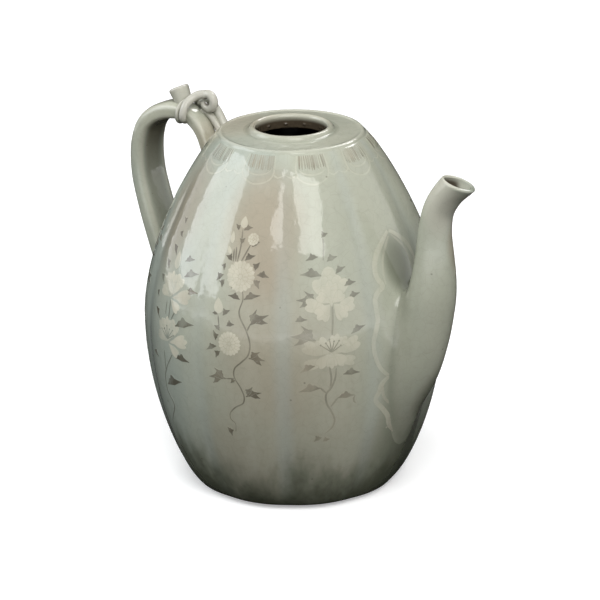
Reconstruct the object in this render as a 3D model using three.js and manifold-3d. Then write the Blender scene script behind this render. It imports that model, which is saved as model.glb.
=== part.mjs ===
// A melon-shaped ewer in celadon: a lobed body closed by a round disc with a small mouth, a tall spout, and a strap
// handle dressed with vine tendrils. The potter makes each of these as a piece of its own and lutes it to the body.
// Millimetres, +Z up. The origin is the middle of the flat base, +X points to the spout and -X to the handle.
import * as THREE from "three";
import { mergeVertices } from "three/addons/utils/BufferGeometryUtils.js";
import Module from "manifold-3d";

const wasm = await Module();
wasm.setup();

// Driving dimensions of the body
const shoulderHeight = 215.4;
const shoulderRadius = 41.5;
const bellyRadius = 89.3;
const bellyHeight = 101.5;
const baseRadius = 46;
const heelRadius = 61.8;
const heelHeight = 2.9;
const wall = 5;
const floorThickness = 6;
const lobes = 10;
const furrowDepth = 1.8;
const furrowSoftness = 0.14;
const lutingGap = 0.3;
const sectors = 80;

// Driving dimensions of the shoulder disc and the mouth
const discRadius = 40;
const mouthRadius = 21.2;
const lipRadius = 24.5;
const lipRise = 3.6;
const collarThickness = 1.5;
const discRise = 0.8;

// Driving dimensions of the spout
const spoutCutPoint = new THREE.Vector3(124.5, 0, 207.5);
const spoutCutTilt = THREE.MathUtils.degToRad(14);

// Driving dimensions of the vine round the handle
const tieRadius = 2.35;
const thinTieRadius = 1.25;
const curlRadius = 4.4;
const curlMiddle = new THREE.Vector3(-67.6, 3.2, 220.2);

const mix = THREE.MathUtils.lerp;
const ease = THREE.MathUtils.smoothstep;
const at = (radius, height) => new THREE.Vector2(radius, height);
const cubic = (...points) => new THREE.CubicBezierCurve(...points.map(([radius, height]) => at(radius, height)));
const pathThrough = (points) =>
  new THREE.CatmullRomCurve3(points.map((point) => new THREE.Vector3(...point)), false, "centripetal");

// Values given at even steps along a curve, joined smoothly
function along(...values) {
  const spline = new THREE.SplineCurve(values.map((value, i) => at(i, value)));
  return (u) => spline.getPoint(u).y;
}

// The lobes: 1 on the crest of a lobe and 0 in the furrow between two lobes
function lobeCrest(angle) {
  const soft = Math.hypot(Math.cos((lobes * angle) / 2), furrowSoftness);
  return (soft - furrowSoftness) / (Math.hypot(1, furrowSoftness) - furrowSoftness);
}

// Furrows fade towards the shoulder and the heel
function furrowAt(height) {
  const top = 1 - 0.85 * ease(height, 0.8 * shoulderHeight, 0.985 * shoulderHeight);
  return furrowDepth * top * mix(0.35, 1, ease(height, 0, 0.2 * shoulderHeight));
}

// The outer profile, from the edge of the base to the shoulder
const heelCurve = cubic([baseRadius, 0], [53, 0], [57.9, 1.1], [heelRadius, heelHeight]);
const lowerCurve = cubic([heelRadius, heelHeight], [73.7, 15.3], [bellyRadius, 56.7], [bellyRadius, bellyHeight]);
const upperCurve = cubic(
  [bellyRadius, bellyHeight], [bellyRadius, 153.5], [47.8, shoulderHeight], [shoulderRadius, shoulderHeight]);
const outerWall = [
  ...heelCurve.getPoints(3).slice(0, -1),
  ...lowerCurve.getPoints(9).slice(0, -1),
  ...upperCurve.getPoints(13),
];

// A closed lathe about +Z. The lobes shape its first points, counted along the profile.
function lobedLathe(profile, lobedCount) {
  const geometry = new THREE.LatheGeometry(profile, sectors);
  const position = geometry.getAttribute("position");
  for (let i = 0; i < position.count; i++) {
    const [x, height, z] = [position.getX(i), position.getY(i), position.getZ(i)];
    const radius = Math.hypot(x, z);
    if (i % profile.length >= lobedCount || radius < 1) continue;
    const factor = 1 - (furrowAt(height) * (1 - lobeCrest(Math.atan2(x, z)))) / radius;
    position.setXYZ(i, x * factor, height, z * factor);
  }
  // The lathe turns about +Y from +Z, so this puts +Z up and the first lobe on +X.
  return geometry.applyMatrix4(new THREE.Matrix4().makeBasis(
    new THREE.Vector3(0, 1, 0), new THREE.Vector3(0, 0, 1), new THREE.Vector3(1, 0, 0)));
}

// A tube along a curve; section(u) gives its corners as [along the normal, along the binormal]
function sweep(curve, steps, section) {
  const frames = curve.computeFrenetFrames(steps, false);
  const corners = section(0).length;
  const vertices = [];
  const faces = [];
  for (let i = 0; i <= steps; i++) {
    const centre = curve.getPointAt(i / steps);
    for (const [across, side] of section(i / steps)) {
      vertices.push(centre.clone()
        .addScaledVector(frames.normals[i], across)
        .addScaledVector(frames.binormals[i], side));
    }
  }
  for (let i = 0; i < steps; i++) {
    for (let j = 0; j < corners; j++) {
      const [a, b] = [i * corners + j, i * corners + ((j + 1) % corners)];
      faces.push(a, b, b + corners, a, b + corners, a + corners);
    }
  }
  for (const end of [0, steps]) {
    const middle = vertices.length;
    vertices.push(curve.getPointAt(end / steps));
    for (let j = 0; j < corners; j++) {
      const [a, b] = [end * corners + j, end * corners + ((j + 1) % corners)];
      faces.push(...(end === 0 ? [middle, b, a] : [middle, a, b]));
    }
  }
  return new THREE.BufferGeometry().setFromPoints(vertices).setIndex(faces);
}

// A round section, its radius following the curve
function round(corners, radiusAt, gap = 0) {
  return (u) => Array.from({ length: corners }, (_, k) => {
    const turn = (2 * Math.PI * k) / corners;
    const radius = radiusAt(u) + gap;
    return [radius * Math.cos(turn), radius * Math.sin(turn)];
  });
}

function solid(geometry) {
  const bare = new THREE.BufferGeometry().setAttribute("position", geometry.getAttribute("position"));
  bare.setIndex(geometry.index);
  const merged = mergeVertices(bare, 1e-3);
  const vertProperties = merged.getAttribute("position").array;
  const corners = new Uint32Array(merged.index.array);
  const made = new wasm.Manifold(new wasm.Mesh({ numProp: 3, vertProperties, triVerts: corners }));
  if (made.volume() > 0) return made;
  return new wasm.Manifold(new wasm.Mesh({ numProp: 3, vertProperties, triVerts: corners.reverse() }));
}

// The biggest body a cut leaves, without the slivers
function biggest(made) {
  return made.decompose().reduce((best, next) => (next.volume() > best.volume() ? next : best));
}

function meshOf(made, name, shade = 0xa9ad9b) {
  const { vertProperties, triVerts } = biggest(made).getMesh();
  const geometry = new THREE.BufferGeometry();
  geometry.setAttribute("position", new THREE.BufferAttribute(new Float32Array(vertProperties), 3));
  geometry.setIndex(new THREE.BufferAttribute(new Uint32Array(triVerts), 1));
  geometry.computeVertexNormals();
  const glaze = new THREE.MeshStandardMaterial({ color: shade, roughness: 0.16, metalness: 0 });
  const mesh = new THREE.Mesh(geometry, glaze);
  mesh.name = name;
  return mesh;
}

// The body without its hollow, grown by the luting gap: what the luted pieces are trimmed against
const grownBody = solid(lobedLathe([
  at(0, 0),
  ...outerWall.slice(0, -1).map((point) => at(point.x + lutingGap, point.y)),
  at(shoulderRadius + lutingGap, shoulderHeight + lutingGap),
  at(lipRadius, shoulderHeight + discRise + lutingGap),
  at(0, shoulderHeight + discRise + lutingGap),
], outerWall.length + 1));

// Spout: rises close to the body from a long root, and turns outwards at its tip
const spoutPath = pathThrough([
  [62.6, 0, 35.7], [70.1, 0, 50.2], [77.8, 0, 65.8], [86.1, 0, 80.4], [93.4, 0, 96.1], [99.4, 0, 113.3],
  [103.1, 0, 129.2], [105.7, 0, 145], [106.5, 0, 160], [106.8, 0, 176.1], [109.7, 0, 189.4], [116.8, 0, 200.5],
  [125.7, 0, 209.3], [135.2, 0, 218.9]]);
const spoutRadius = along(10.8, 12.6, 14.2, 15.3, 15.8, 15.3, 14.8, 14.3, 12.6, 10.6, 9.3, 8.9, 9.2, 10.1);
const boreRadius = along(5.5, 6.5, 7.2, 7.8, 8.2, 8, 7.6, 7, 6.6, 6.2, 6, 6, 7.4, 8.6);
const bore = solid(sweep(spoutPath, 28, round(14, boreRadius)));

// What lies past the slanting cut across the spout's tip
const pastTheCut = new THREE.BoxGeometry(60, 60, 40).translate(0, 0, 20).rotateY(spoutCutTilt);
pastTheCut.translate(...spoutCutPoint);

const spout = solid(sweep(spoutPath, 32, round(24, spoutRadius)))
  .subtract(grownBody)
  .subtract(bore)
  .subtract(solid(pastTheCut));

// Body: thrown and paddled into ten lobes, with a flat base, an open top and a hole behind the spout
const underDisc = shoulderHeight - wall;
const underShoulder = upperCurve.getPoints(8).reverse()
  .map((point) => at(point.x - wall, Math.min(point.y, underDisc)))
  .filter((point) => point.x > discRadius + 2);
const underBelly = lowerCurve.getPoints(6).reverse().slice(1, -1)
  .map((point) => at(point.x - wall, point.y + 3));
const body = solid(lobedLathe([
  at(0, 0),
  ...outerWall,
  at(discRadius + lutingGap, shoulderHeight),
  at(discRadius + lutingGap, underDisc),
  ...underShoulder,
  ...underBelly,
  at(46, floorThickness + 1),
  at(0, floorThickness),
], outerWall.length + 1)).subtract(bore);

// A ring turned about +Z from the outline of its section
const turned = (...outline) => solid(new THREE.LatheGeometry([...outline, outline[0]], 48).rotateX(Math.PI / 2));

// Shoulder disc: closes the top of the body and rises a little towards the mouth
const mouthSeat = mouthRadius + collarThickness + lutingGap;
const shoulderDisc = turned(
  at(mouthSeat, underDisc),
  at(discRadius, underDisc),
  at(discRadius, shoulderHeight),
  at(lipRadius + 1, shoulderHeight + discRise),
  at(mouthSeat, shoulderHeight + discRise),
);

// Mouth ring: a rolled lip that sits in the mouth and laps over the disc
const lapHeight = shoulderHeight + discRise + lutingGap;
const lipTop = shoulderHeight + lipRise;
const mouthRing = turned(
  at(mouthRadius, underDisc),
  at(mouthRadius + collarThickness, underDisc),
  at(mouthRadius + collarThickness, lapHeight),
  at(lipRadius, lapHeight),
  at(lipRadius - 0.1, lipTop - 1.4),
  at(lipRadius - 0.9, lipTop - 0.3),
  at(lipRadius - 1.8, lipTop),
  at(lipRadius - 2.7, lipTop - 0.5),
  at(mouthRadius, lipTop - 1.6),
);

// Handle: a broad strap from the belly up and over to the shoulder, flat where the fingers go through
const strapPath = pathThrough([
  [-84, 0, 88], [-92, 0, 103], [-97.6, 0, 117], [-103, 0, 130], [-108, 0, 143], [-112.3, 0, 156], [-115.3, 0, 168],
  [-116.2, 0, 180], [-115.2, 0, 190], [-111.5, 0, 200], [-105, 0, 206.8], [-95, 0, 211.4], [-85, 0, 212.4],
  [-77.5, 0, 210.8], [-71.5, 0, 206.7], [-67.4, 0, 201.2], [-64.2, 0, 194], [-60, 0, 185]]);
const strapWidth = along(27, 27, 27, 26.5, 26, 25.6, 25, 24, 21.5, 17.5, 13.8, 12, 12);
const strapDepth = along(13, 13, 12.8, 12, 11, 10.2, 10, 10.2, 10.6, 10.6, 9.4, 8.2, 8.6);

function strapSection(gap) {
  return (u) => Array.from({ length: 18 }, (_, k) => {
    const turn = (2 * Math.PI * (k + 0.5)) / 18;
    const [c, s] = [Math.cos(turn), Math.sin(turn)];
    const side = Math.sign(c) * Math.abs(c) ** 0.55;
    const out = Math.sign(s) * Math.abs(s) ** (s > 0 ? 0.45 : 0.75);
    return [side * (strapWidth(u) / 2 + gap), out * (strapDepth(u) / 2 + gap)];
  });
}

const strap = solid(sweep(strapPath, 38, strapSection(0))).subtract(grownBody);
const grownStrap = solid(sweep(strapPath, 38, strapSection(lutingGap)));

// Vine: two ties wound round the strap. The thick one ends in a curl that stands up over the handle.
const curl = [120, 90, 60, 30, 0, -30, -60, -90, -120, -150, -172].map((degrees) => {
  const turn = THREE.MathUtils.degToRad(degrees);
  return [curlMiddle.x + curlRadius * Math.cos(turn), curlMiddle.y, curlMiddle.z + curlRadius * Math.sin(turn)];
});
const tiePath = pathThrough([
  [-79.6, 3.6, 219.4], [-79.4, 7.6, 217.6], [-79.6, 10.2, 213.6], [-80.4, 9.6, 210], [-81.2, 6, 208.2],
  [-81, 0, 207.8], [-79.2, -5.4, 208.6], [-77.7, -8.9, 211.2], [-77, -8.9, 214.8], [-76.8, -6.6, 218.8],
  [-76, -2.8, 221.4], [-73.6, 0.6, 223.4], ...curl]);
const tie = (gap) => solid(sweep(tiePath, 64, round(10, () => tieRadius, gap)));
const thinTiePath = pathThrough([
  [-82.6, 2.4, 218.9], [-82.4, 7.4, 217.4], [-82.8, 10, 213], [-84, 9.6, 208.8], [-85, 5.4, 206.2],
  [-84.8, 0, 205.9], [-83.4, -5.8, 206.9], [-82, -9.2, 210.2], [-81.4, -9.2, 214.6], [-81.2, -6.4, 218.2],
  [-81.4, -1.4, 219.7]]);
const thinTie = solid(sweep(thinTiePath, 36, round(8, () => thinTieRadius)));

// The stub of a cut stalk, and two tendrils that run down to the shoulder
const stub = (gap) => solid(sweep(
  pathThrough([[-84.8, 1, 213.6], [-85.6, 1, 218.6], [-87.4, 1, 222.8], [-90, 1, 226.6]]),
  6, round(14, along(4.6, 4, 4.4, 5.4), gap)));
const nearTendril = solid(sweep(
  pathThrough([[-73.6, 3, 213], [-70, 4, 212], [-66.8, 4, 209.4], [-63.6, 4, 205.6], [-59, 4, 199]]),
  14, round(10, along(1.7, 2, 2, 1.9))));
const farTendril = solid(sweep(
  pathThrough([[-75, 8.6, 214.6], [-70, 9.4, 215.4], [-65.4, 9, 212.6], [-61, 8.6, 207.2], [-56, 8, 199]]),
  16, round(10, along(2.2, 2.4, 2.4, 2.5))));

const onStrap = (made) => made.subtract(grownStrap).subtract(grownBody);
const root = new THREE.Group();
root.add(
  meshOf(body, "body"),
  meshOf(shoulderDisc, "shoulder_disc"),
  meshOf(mouthRing, "mouth_ring", 0xb3b5a5),
  meshOf(spout, "spout"),
  meshOf(strap, "handle_strap"),
  meshOf(onStrap(tie(0)), "vine_tie"),
  meshOf(onStrap(thinTie).subtract(tie(lutingGap)).subtract(stub(lutingGap)), "vine_tie_thin"),
  meshOf(onStrap(stub(0)).subtract(tie(lutingGap)), "stalk_stub"),
  meshOf(onStrap(nearTendril).subtract(tie(lutingGap)), "tendril_near"),
  meshOf(onStrap(farTendril).subtract(tie(lutingGap)), "tendril_far"),
);

export default root;
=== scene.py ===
import math
import bpy
import numpy as np
from mathutils import Matrix, Quaternion, Vector, geometry


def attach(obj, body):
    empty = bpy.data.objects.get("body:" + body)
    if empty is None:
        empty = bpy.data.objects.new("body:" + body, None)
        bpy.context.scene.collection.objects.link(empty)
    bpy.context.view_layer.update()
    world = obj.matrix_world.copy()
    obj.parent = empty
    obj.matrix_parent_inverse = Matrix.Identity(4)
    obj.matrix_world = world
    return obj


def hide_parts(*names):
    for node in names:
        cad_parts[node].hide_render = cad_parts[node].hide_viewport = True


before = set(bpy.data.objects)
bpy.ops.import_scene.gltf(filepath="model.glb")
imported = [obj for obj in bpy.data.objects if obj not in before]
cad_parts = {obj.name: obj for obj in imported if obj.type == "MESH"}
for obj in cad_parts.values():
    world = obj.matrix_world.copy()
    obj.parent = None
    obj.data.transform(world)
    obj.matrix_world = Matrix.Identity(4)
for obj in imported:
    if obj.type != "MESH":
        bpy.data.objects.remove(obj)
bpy.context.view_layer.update()        # the solids of the ewer, in metres
mm = 0.001

# The ewer stands on z = 0, its spout towards +X and its handle towards -X. Sizes below are millimetres.


# Curves

def bezier(points, count):
    t = np.linspace(0, 1, count)[:, None]
    a, b, c, d = np.array(points, float)
    return (1 - t) ** 3 * a + 3 * (1 - t) ** 2 * t * b + 3 * (1 - t) * t ** 2 * c + t ** 3 * d


def catmullRom(points, steps=24):
    # a smooth line through the points, with centripetal knots
    p = np.array(points, float)
    p = np.vstack([2 * p[0] - p[1], p, 2 * p[-1] - p[-2]])
    out = []
    for i in range(1, len(p) - 2):
        knot = [0.0]
        for j in range(3):
            knot.append(knot[-1] + max(np.linalg.norm(p[i + j] - p[i + j - 1]), 1e-6) ** 0.5)
        t = np.linspace(knot[1], knot[2], steps, endpoint=False)[:, None]
        lerp = lambda a, b, u, v: ((v - t) * a + (t - u) * b) / (v - u)
        a1 = lerp(p[i - 1], p[i], knot[0], knot[1])
        a2 = lerp(p[i], p[i + 1], knot[1], knot[2])
        a3 = lerp(p[i + 1], p[i + 2], knot[2], knot[3])
        b1 = lerp(a1, a2, knot[0], knot[2])
        b2 = lerp(a2, a3, knot[1], knot[3])
        out.append(lerp(b1, b2, knot[1], knot[2]))
    return np.vstack(out + [p[-2:-1]])


def lengthsAlong(path):
    return np.concatenate([[0], np.cumsum(np.linalg.norm(np.diff(path, axis=0), axis=1))])


def pointsAt(path, measure, at):
    # points of a path at given values of a measure that grows along it
    return np.column_stack([np.interp(at, measure, path[:, k]) for k in range(path.shape[1])])


def evenly(path, count):
    reach = lengthsAlong(path)
    return pointsAt(path, reach, np.linspace(0, reach[-1], count))


def along(values, u):
    # values given at even steps, joined smoothly
    v = np.array(values, float)
    v = np.concatenate([v[:1], v, v[-1:]])
    at = np.clip(np.asarray(u, float), 0, 1) * (len(values) - 1)
    i = np.minimum(at.astype(int), len(values) - 2)
    t = at - i
    a, b, c, d = v[i], v[i + 1], v[i + 2], v[i + 3]
    return b + 0.5 * t * (c - a + t * (2 * a - 5 * b + 4 * c - d + t * (3 * (b - c) + d - a)))


def ease(x, low, high):
    t = np.clip((np.asarray(x, float) - low) / (high - low), 0, 1)
    return t * t * (3 - 2 * t)


def bell(x, middle, width):
    return np.exp(-((x - middle) / width) ** 2)


def unit(v):
    return v / np.linalg.norm(v, axis=-1, keepdims=True)


def around(count):
    return np.linspace(0, 2 * math.pi, count, endpoint=False)


def outward(angle):
    return np.column_stack([np.cos(angle), np.sin(angle), np.zeros(len(angle))])


# The body's rule: a turned profile pressed into ten lobes

melon = {
    "shoulderHeight": 215.4, "shoulderRadius": 41.5, "bellyRadius": 89.3, "bellyHeight": 101.5,
    "baseRadius": 46, "heelRadius": 61.8, "heelHeight": 2.9, "wall": 5, "floor": 6,
    "lobes": 10, "furrowDepth": 1.8, "furrowSoftness": 0.14, "unevenness": 0.22, "columns": 420,
}
height = melon["shoulderHeight"]
heelCurve = [(melon["baseRadius"], 0), (53, 0), (57.9, 1.1), (melon["heelRadius"], melon["heelHeight"])]
lowerCurve = [
    heelCurve[-1], (73.7, 15.3), (melon["bellyRadius"], 56.7), (melon["bellyRadius"], melon["bellyHeight"]),
]
upperCurve = [
    lowerCurve[-1], (melon["bellyRadius"], 153.5), (47.8, height), (melon["shoulderRadius"], height),
]
outerLine = np.vstack([
    bezier(heelCurve, 9)[:-1],
    evenly(bezier(lowerCurve, 200), 48)[:-1],
    evenly(bezier(upperCurve, 300), 76),
])


def lobeCrest(angle):
    soft = melon["furrowSoftness"]
    return (np.hypot(np.cos(melon["lobes"] * angle / 2), soft) - soft) / (math.hypot(1, soft) - soft)


def furrowAt(z):
    top = 1 - 0.85 * ease(z, 0.8 * height, 0.985 * height)
    return melon["furrowDepth"] * top * (0.35 + 0.65 * ease(z, 0, 0.2 * height))


def handWork(angle, z):
    # the slow unevenness that paddling leaves
    waves = (
        np.sin(2 * angle + 0.7 + z / 61) + np.sin(3 * angle - 1.9 - z / 43)
        + 0.7 * np.sin(5 * angle + z / 23 + 2.2) + 0.6 * np.sin(z / 17 - 4 * angle)
    )
    return melon["unevenness"] * waves / 3.3 * ease(z, 4, 30) * (1 - ease(z, 196, 211))


def turnedRadius(z):
    return np.interp(z, outerLine[:, 1], outerLine[:, 0])


def plainRadius(angle, z):
    return turnedRadius(z) - furrowAt(z) * (1 - lobeCrest(angle)) + handWork(angle, z)


def steepness(z):
    # how squarely a step outwards leaves the wall
    return 1 / np.hypot(1, turnedRadius(z + 0.5) - turnedRadius(z - 0.5))


def fromBody(points):
    x, y, z = points[..., 0], points[..., 1], points[..., 2]
    return (np.hypot(x, y) - plainRadius(np.arctan2(y, x), z)) * steepness(z)


# Luted pieces: each is a section carried along a line in the plane of spout and handle

class Sweep:
    def __init__(self, form, reach):
        self.line = evenly(catmullRom([(x, 0, z) for x, z in form["path"]]), form["rings"])
        self.reach, self.fillet = reach, form["fillet"]
        tangent = unit(np.gradient(self.line, axis=0))
        self.inward = np.column_stack([tangent[:, 2], np.zeros(len(tangent)), -tangent[:, 0]])

    def spokes(self, turns):
        # directions out of the section, for every ring and turn
        out = self.inward[:, None, :] * np.sin(turns)[None, :, None]
        out[:, :, 1] = -np.cos(turns)
        return out

    def distance(self, points):
        # how far outside the section a point lies, measured from the middle of the section
        flat = points.reshape(-1, 3)
        best = np.full(len(flat), 1e9)
        u, across = np.zeros(len(flat)), np.zeros(len(flat))
        line, last = self.line[:, [0, 2]], len(self.line) - 1
        for i in range(last):
            step = line[i + 1] - line[i]
            t = np.clip(((flat[:, [0, 2]] - line[i]) @ step) / (step @ step), 0, 1)
            gap = flat[:, [0, 2]] - line[i] - t[:, None] * step
            far = np.hypot(gap[:, 0], gap[:, 1])
            near = far < best
            best[near] = far[near]
            u[near] = (i + t[near]) / last
            across[near] = np.sign(gap[near] @ self.inward[i][[0, 2]]) * far[near]
        side = -flat[:, 1]
        out = np.hypot(side, across) - self.reach(u, np.arctan2(across, side))
        return out.reshape(points.shape[:-1])


def blended(a, b, width):
    # two surfaces joined by a soft fillet, and how deep a point lies in that fillet
    share = np.clip(width - np.abs(a - b), 0, None) / width
    return np.minimum(a, b) - share ** 2 * width / 4, share


def firstOut(start, direction, limit, depth):
    # walks from start until depth(point) turns positive, up to the limit
    low, high = np.zeros(len(start)), limit.copy()
    found = np.zeros(len(start), bool)
    steps = 30
    for i in range(1, steps + 1):
        t = limit * i / steps
        out = ~found & (depth(start + direction * t[:, None], t) > 0)
        high[out] = t[out]
        low[out] = limit[out] * (i - 1) / steps
        found |= out
    for _ in range(14):
        middle = (low + high) / 2
        out = depth(start + direction * middle[:, None], middle) > 0
        high = np.where(found & out, middle, high)
        low = np.where(found & ~out, middle, low)
    return np.where(found, high, limit)


spoutForm = {
    "path": [(62.6, 35.7), (70.1, 50.2), (77.8, 65.8), (86.1, 80.4), (93.4, 96.1), (99.4, 113.3),
             (103.1, 129.2), (105.7, 145), (106.5, 160), (106.8, 176.1), (109.7, 189.4), (116.8, 200.5),
             (125.7, 209.3), (135.2, 218.9)],
    "radius": [10.8, 12.6, 14.2, 15.3, 15.8, 15.3, 14.8, 14.3, 12.6, 10.6, 9.3, 8.9, 9.2, 10.1],
    "bore": [5.5, 6.5, 7.2, 7.8, 8.2, 8, 7.6, 7, 6.6, 6.2, 5.8, 5.4, 5.4, 5.4],
    "flare": 1.75, "flareDepth": 6, "shift": (-0.6, 0.4), "cutPoint": (124.5, 0, 207.5), "cutTilt": 14,
    "cutLean": 9, "rim": 1.1, "rings": 150, "columns": 112, "fillet": 11, "shiftDepth": 14, "boreRings": 70,
    "boreCrowding": 1.8,
}
strapForm = {
    "path": [(-79, 77.5), (-92, 103), (-97.6, 117), (-103, 130), (-108, 143), (-112.3, 156), (-115.3, 168),
             (-116.2, 180), (-115.2, 190), (-111.5, 200), (-105, 206.8), (-95, 211.4), (-85, 212.4),
             (-77.5, 210.8), (-71.5, 206.7), (-67.4, 201.2), (-64.2, 194), (-60, 185)],
    "width": [27, 27, 27, 26.5, 26, 25.6, 25, 24, 21.5, 17.5, 13.8, 12, 12],
    "depth": [13, 13, 12.8, 12, 11, 10.2, 10, 10.2, 10.6, 10.6, 9.4, 8.2, 8.6],
    "side": 0.55, "inner": 0.45, "outer": 0.75, "rings": 190, "columns": 96, "fillet": 6,
}


def spoutReach(u, turn):
    return along(spoutForm["radius"], u)


def strapReach(u, turn):
    # how far a squared oval reaches in a direction
    w, d = along(strapForm["width"], u) / 2, along(strapForm["depth"], u) / 2
    c, s = np.abs(np.cos(turn)), np.abs(np.sin(turn))
    power = np.where(np.sin(turn) > 0, 2 / strapForm["inner"], 2 / strapForm["outer"])
    low, high = np.minimum(w, d) * 0.5, np.hypot(w, d)
    for _ in range(18):
        t = (low + high) / 2
        inside = (t * c / w) ** (2 / strapForm["side"]) + (t * s / d) ** power < 1
        low, high = np.where(inside, t, low), np.where(inside, high, t)
    return (low + high) / 2


spoutSweep, strapSweep = Sweep(spoutForm, spoutReach), Sweep(strapForm, strapReach)
# A fillet's edge sinks into the wall by "sink" (mm). All else is a share of the fillet's width: between
# which depths the edge sinks, and how far the fillet may reach, on the body and on the luted piece.
seam = {"sink": 0.12, "bodyEdge": (0.14, 0.24), "bodyReach": 0.28, "lutedEdge": (0.3, 0.4),
        "lutedReach": 0.42}


def raised(angle, z):
    # points of the body's outside, drawn up where spout and handle are luted on, and how deep in a fillet
    out = outward(angle)
    points = out * plainRadius(angle, z)[:, None]
    points[:, 2] = z
    shares = np.zeros(len(z))
    for sweep in (spoutSweep, strapSweep):
        near = np.where(np.sign(sweep.line[0][0]) * out[:, 0] > 0.6)[0]
        near = near[sweep.distance(points[near]) < sweep.fillet]
        if not len(near):
            continue
        width, slope = sweep.fillet, steepness(z[near])

        def depth(p, t):
            a, b = t * slope, sweep.distance(p)
            return blended(a, b, width)[0] + seam["sink"] * ease(a / width, *seam["bodyEdge"])

        t = firstOut(points[near], out[near], seam["bodyReach"] * width / slope, depth)
        t[sweep.distance(points[near]) > 0.995 * width] = 0
        points[near] += out[near] * t[:, None]
        shares[near] = np.maximum(shares[near], blended(t * slope, sweep.distance(points[near]), width)[1])
    return points, shares


# Meshes

def gridMesh(name, points, closedRows=False):
    # a tube from rings of points; its ends are closed with fans unless the rows run in a circle
    rows, columns = points.shape[:2]
    verts = points.reshape(-1, 3) * mm
    i, j = np.meshgrid(np.arange(rows if closedRows else rows - 1), np.arange(columns), indexing="ij")
    a, b = i * columns + j, i * columns + (j + 1) % columns
    c, d = (i + 1) % rows * columns + (j + 1) % columns, (i + 1) % rows * columns + j
    faces = np.stack([a, b, c, d], -1).reshape(-1, 4).tolist()
    if not closedRows:
        verts = np.vstack([verts, verts[:columns].mean(0), verts[-columns:].mean(0)])
        low, high, start = len(verts) - 2, len(verts) - 1, (rows - 1) * columns
        faces += [(low, (k + 1) % columns, k) for k in range(columns)]
        faces += [(high, start + k, start + (k + 1) % columns) for k in range(columns)]
    return meshFrom(name, verts, faces)


def placed(name, data):
    thing = bpy.data.objects.new(name, data)
    bpy.context.scene.collection.objects.link(thing)
    return thing


def meshFrom(name, verts, faces):
    mesh = bpy.data.meshes.new(name)
    mesh.from_pydata([tuple(v) for v in verts], [], faces)
    mesh.polygons.foreach_set("use_smooth", [True] * len(mesh.polygons))
    mesh.update()
    faceOut(mesh)
    return placed(name, mesh)


def vertexPoints(mesh):
    co = np.zeros(len(mesh.vertices) * 3)
    mesh.vertices.foreach_get("co", co)
    return co.reshape(-1, 3)


def movePoints(mesh, points):
    mesh.vertices.foreach_set("co", (points * mm).ravel())
    mesh.update()


def faceOut(mesh):
    # turns the faces of a closed mesh outwards
    co = vertexPoints(mesh)
    mesh.calc_loop_triangles()
    tri = np.zeros(len(mesh.loop_triangles) * 3, int)
    mesh.loop_triangles.foreach_get("vertices", tri)
    a, b, c = (co[tri.reshape(-1, 3)[:, k]] for k in range(3))
    if np.einsum("ij,ij->i", a, np.cross(b, c)).sum() < 0:
        mesh.flip_normals()


def paint(mesh, **layers):
    # values for the points of a mesh, which the glaze or a node tree reads
    for name, values in layers.items():
        if name in mesh.attributes:
            mesh.attributes.remove(mesh.attributes[name])
        layer = mesh.attributes.new(name, "FLOAT", "POINT")
        layer.data.foreach_set("value", np.asarray(values, np.float32))


def lineMesh(name, points, **layers):
    # a path of edges for a node tree to grow on
    mesh = bpy.data.meshes.new(name)
    mesh.from_pydata([tuple(p * mm) for p in points], [(i, i + 1) for i in range(len(points) - 1)], [])
    paint(mesh, **layers)
    return mesh


def plainMesh(thing, modifier):
    # what a modifier makes, as a mesh of its own
    bpy.context.view_layer.update()
    made = bpy.data.meshes.new_from_object(thing.evaluated_get(bpy.context.evaluated_depsgraph_get()))
    thing.modifiers.remove(modifier)
    return made


def cutAway(thing, tool):
    # a boolean whose edges stay inside the clay
    cut = thing.modifiers.new("cut", "BOOLEAN")
    cut.operation, cut.solver, cut.object = "DIFFERENCE", "EXACT", tool
    made = plainMesh(thing, cut)
    old, thing.data = thing.data, made
    made.name = thing.name
    bpy.data.meshes.remove(old)


def finishPiece(thing, material, node=None):
    if material is not None:
        thing.data.materials.clear()
        thing.data.materials.append(material)
    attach(thing, "root")
    if node:
        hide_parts(node)
    return thing


# Node trees, written as expressions

class Tree:
    def __init__(self, nodeTree):
        self.nodes, self.links = nodeTree.nodes, nodeTree.links

    def add(self, kind, settings=None, inputs=None, output=0):
        node = self.nodes.new(kind)
        for key, value in (settings or {}).items():
            setattr(node, key, value)
        for key, value in (inputs or {}).items():
            if isinstance(value, Wire):
                self.links.new(value.socket, node.inputs[key])
            else:
                node.inputs[key].default_value = value
        return Wire(self, node.outputs[output]) if node.outputs else node

    def many(self, kind, inputs=None):
        # every output of a node, by name
        node = self.add(kind, {}, inputs).socket.node
        return {socket.name: Wire(self, socket) for socket in node.outputs}


class Wire:
    # a socket that can be reckoned with
    def __init__(self, tree, socket):
        self.tree, self.socket = tree, socket

    def math(self, operation, other=None, swap=False):
        pair = [self] if other is None else [other, self] if swap else [self, other]
        return self.tree.add("ShaderNodeMath", {"operation": operation}, dict(enumerate(pair)))

    def __add__(self, other): return self.math("ADD", other)
    def __sub__(self, other): return self.math("SUBTRACT", other)
    def __mul__(self, other): return self.math("MULTIPLY", other)
    def __truediv__(self, other): return self.math("DIVIDE", other)
    def __pow__(self, other): return self.math("POWER", other)
    def __rsub__(self, other): return self.math("SUBTRACT", other, swap=True)
    def __rtruediv__(self, other): return self.math("DIVIDE", other, swap=True)
    __radd__, __rmul__ = __add__, __mul__

    def smooth(self, low, high):
        return self.tree.add("ShaderNodeMapRange", {"interpolation_type": "SMOOTHSTEP"},
                             {"Value": self, "From Min": low, "From Max": high})


def freshTree(owner):
    # the emptied node tree of a material or world
    owner.use_nodes = True
    owner.node_tree.nodes.clear()
    return Tree(owner.node_tree)


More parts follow.
